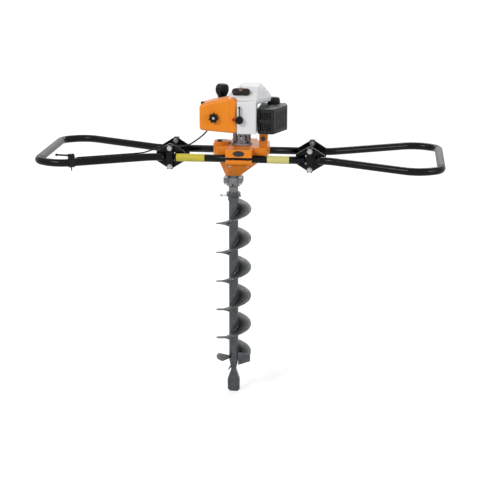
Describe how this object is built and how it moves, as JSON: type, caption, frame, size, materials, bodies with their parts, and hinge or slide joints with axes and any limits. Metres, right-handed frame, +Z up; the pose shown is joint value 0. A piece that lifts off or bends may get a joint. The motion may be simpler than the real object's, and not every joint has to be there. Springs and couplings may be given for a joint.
{
  "type": "earth auger",
  "caption": "Petrol earth auger for two people: engine on a gear case, tube frame with folding loop handles, and a drill with a helical flight and a spade point.",
  "frame": {"origin": "the tip of the drill's centre point, on the drill's axis", "axes": "+Z up the drill, +X towards the right handle, +Y to the back"},
  "size_m": [1.3371, 0.4341, 1.0853],
  "materials": {
    "black_paint": "satin black paint",
    "yellow_band": "plain sleeve",
    "zinc": "zinc plated",
    "grip_rubber": "soft sleeve",
    "black_plastic": "moulded",
    "cable_sheath": "ribbed sheath",
    "orange_casting": "orange paint on a casting",
    "casting": "bare casting",
    "steel": "machined",
    "seal_rubber": "lip seal",
    "friction_lining": "lined shoe",
    "white_plastic": "moulded",
    "orange_plastic": "moulded",
    "foam": "open foam",
    "red_plastic": "moulded",
    "tank_plastic": "blow moulded",
    "drill_paint": "charcoal paint"
  },
  "bodies": {
    "frame": {"frame_tubes": "black_paint", "marker_bands": "yellow_band", "frame_hinge_plates": "black_paint", "hinge_bolts": "zinc", "hinge_nuts": "zinc", "clamp_blocks": "black_paint", "plate_screws": "zinc", "engine_cable": "cable_sheath", "upper_gear_case": "orange_casting", "lower_gear_case": "orange_casting", "case_bolts": "zinc", "shaft_bearings": "steel", "spindle_seal": "seal_rubber", "clutch_housing": "casting", "lower_crankcase": "casting", "upper_crankcase": "casting", "cylinder": "casting", "spark_plug": "steel", "ignition_coil": "black_plastic", "cylinder_shroud": "white_plastic", "starter_cover": "white_plastic", "carburettor": "casting", "intake_manifold": "black_plastic", "filter_base": "black_plastic", "filter_element": "foam", "filter_cover": "orange_plastic", "fuel_tank": "tank_plastic", "muffler": "steel", "muffler_guard": "black_paint"},
    "left_handle": {"left_handle_tube": "black_paint", "left_handle_plates": "black_paint", "left_grip": "grip_rubber", "throttle_clamp": "black_plastic", "handle_cable": "cable_sheath"},
    "right_handle": {"right_handle_tube": "black_paint", "right_handle_plates": "black_paint", "right_grip": "grip_rubber"},
    "throttle": {"throttle_lever": "black_plastic"},
    "drill": {"spindle": "steel", "output_gear": "steel", "adapter": "steel", "flange_bolts": "zinc", "drill_tube": "drill_paint", "flight": "drill_paint", "cutter_blades": "drill_paint", "centre_point": "drill_paint"},
    "lock_pin": {"lock_pin": "zinc"},
    "layshaft": {"layshaft": "steel", "layshaft_gear": "steel"},
    "clutch_drum": {"clutch_drum": "steel"},
    "crank": {"crankshaft": "steel", "clutch_shoes": "friction_lining", "flywheel": "casting"},
    "piston": {"piston": "casting"},
    "starter_grip": {"starter_grip": "black_plastic"},
    "starter_pulley": {"starter_pulley": "black_plastic"},
    "choke": {"choke_lever": "black_plastic"},
    "stop_button": {"stop_button": "red_plastic"},
    "fuel_cap": {"fuel_cap": "black_plastic"},
    "filter_knob": {"filter_knob": "black_plastic"}
  },
  "joints": [
    {"name": "left_fold", "type": "hinge", "parent": "frame", "child": "left_handle", "pos_m": [-0.20275, 0, 0.8806], "axis": [0, 1, 0], "range_deg": [0, 90]},
    {"name": "right_fold", "type": "hinge", "parent": "frame", "child": "right_handle", "pos_m": [0.25925, 0, 0.8806], "axis": [0, -1, 0], "range_deg": [0, 90]},
    {"name": "throttle_squeeze", "type": "hinge", "parent": "left_handle", "child": "throttle", "pos_m": [-0.50575, -0.19261, 0.8735], "axis": [0.4372, -0.8994, 0], "range_deg": [0, 12], "stiffness_Nm_per_rad": 0.1, "springref_deg": -28.65},
    {"name": "drill_spin", "type": "hinge", "parent": "frame", "child": "drill", "pos_m": [0, 0, 0.8], "axis": [0, 0, 1], "continuous": true},
    {"name": "layshaft_spin", "type": "hinge", "parent": "frame", "child": "layshaft", "pos_m": [0.062, 0, 0.86], "axis": [0, 0, 1], "continuous": true},
    {"name": "drum_spin", "type": "hinge", "parent": "frame", "child": "clutch_drum", "pos_m": [0.02825, 0, 0.89], "axis": [0, 0, 1], "continuous": true},
    {"name": "crank_spin", "type": "hinge", "parent": "frame", "child": "crank", "pos_m": [0.02825, 0, 0.975], "axis": [0, 0, 1], "continuous": true},
    {"name": "piston_stroke", "type": "slide", "parent": "frame", "child": "piston", "axis": [-0.342, 0.9397, 0], "range_m": [0, 0.03]},
    {"name": "starter_pull", "type": "slide", "parent": "frame", "child": "starter_grip", "axis": [0, -0.6225, 0.7826], "range_m": [0, 0.75], "stiffness_N_per_m": 6, "springref_m": -0.3},
    {"name": "pulley_spin", "type": "hinge", "parent": "frame", "child": "starter_pulley", "pos_m": [0.02825, 0, 1.059], "axis": [0, 0, 1], "range_deg": [0, 2388]},
    {"name": "choke_swing", "type": "hinge", "parent": "frame", "child": "choke", "pos_m": [0.034, -0.126, 0.988], "axis": [0, 1, 0], "range_deg": [0, 55]},
    {"name": "stop_push", "type": "slide", "parent": "frame", "child": "stop_button", "axis": [0, 1, 0], "range_m": [0, 0.0025], "stiffness_N_per_m": 400, "springref_m": -0.001},
    {"name": "cap_twist", "type": "hinge", "parent": "frame", "child": "fuel_cap", "pos_m": [-0.041, 0.03, 1.058], "axis": [0, 0, 1], "range_deg": [0, 270]},
    {"name": "knob_twist", "type": "hinge", "parent": "frame", "child": "filter_knob", "pos_m": [-0.049, -0.128, 0.994], "axis": [0, -1, 0], "range_deg": [0, 720]},
    {"name": "pin_pull", "type": "slide", "parent": "drill", "child": "lock_pin", "axis": [-1, 0, 0], "range_m": [0, 0.062]}
  ],
  "couplings": [
    {"joint": "layshaft_spin", "follows": "drill_spin", "ratio": -5.2},
    {"joint": "drum_spin", "follows": "drill_spin", "ratio": 22.88},
    {"joint": "pulley_spin", "follows": "starter_pull", "rad_per_m": 55.556}
  ]
}
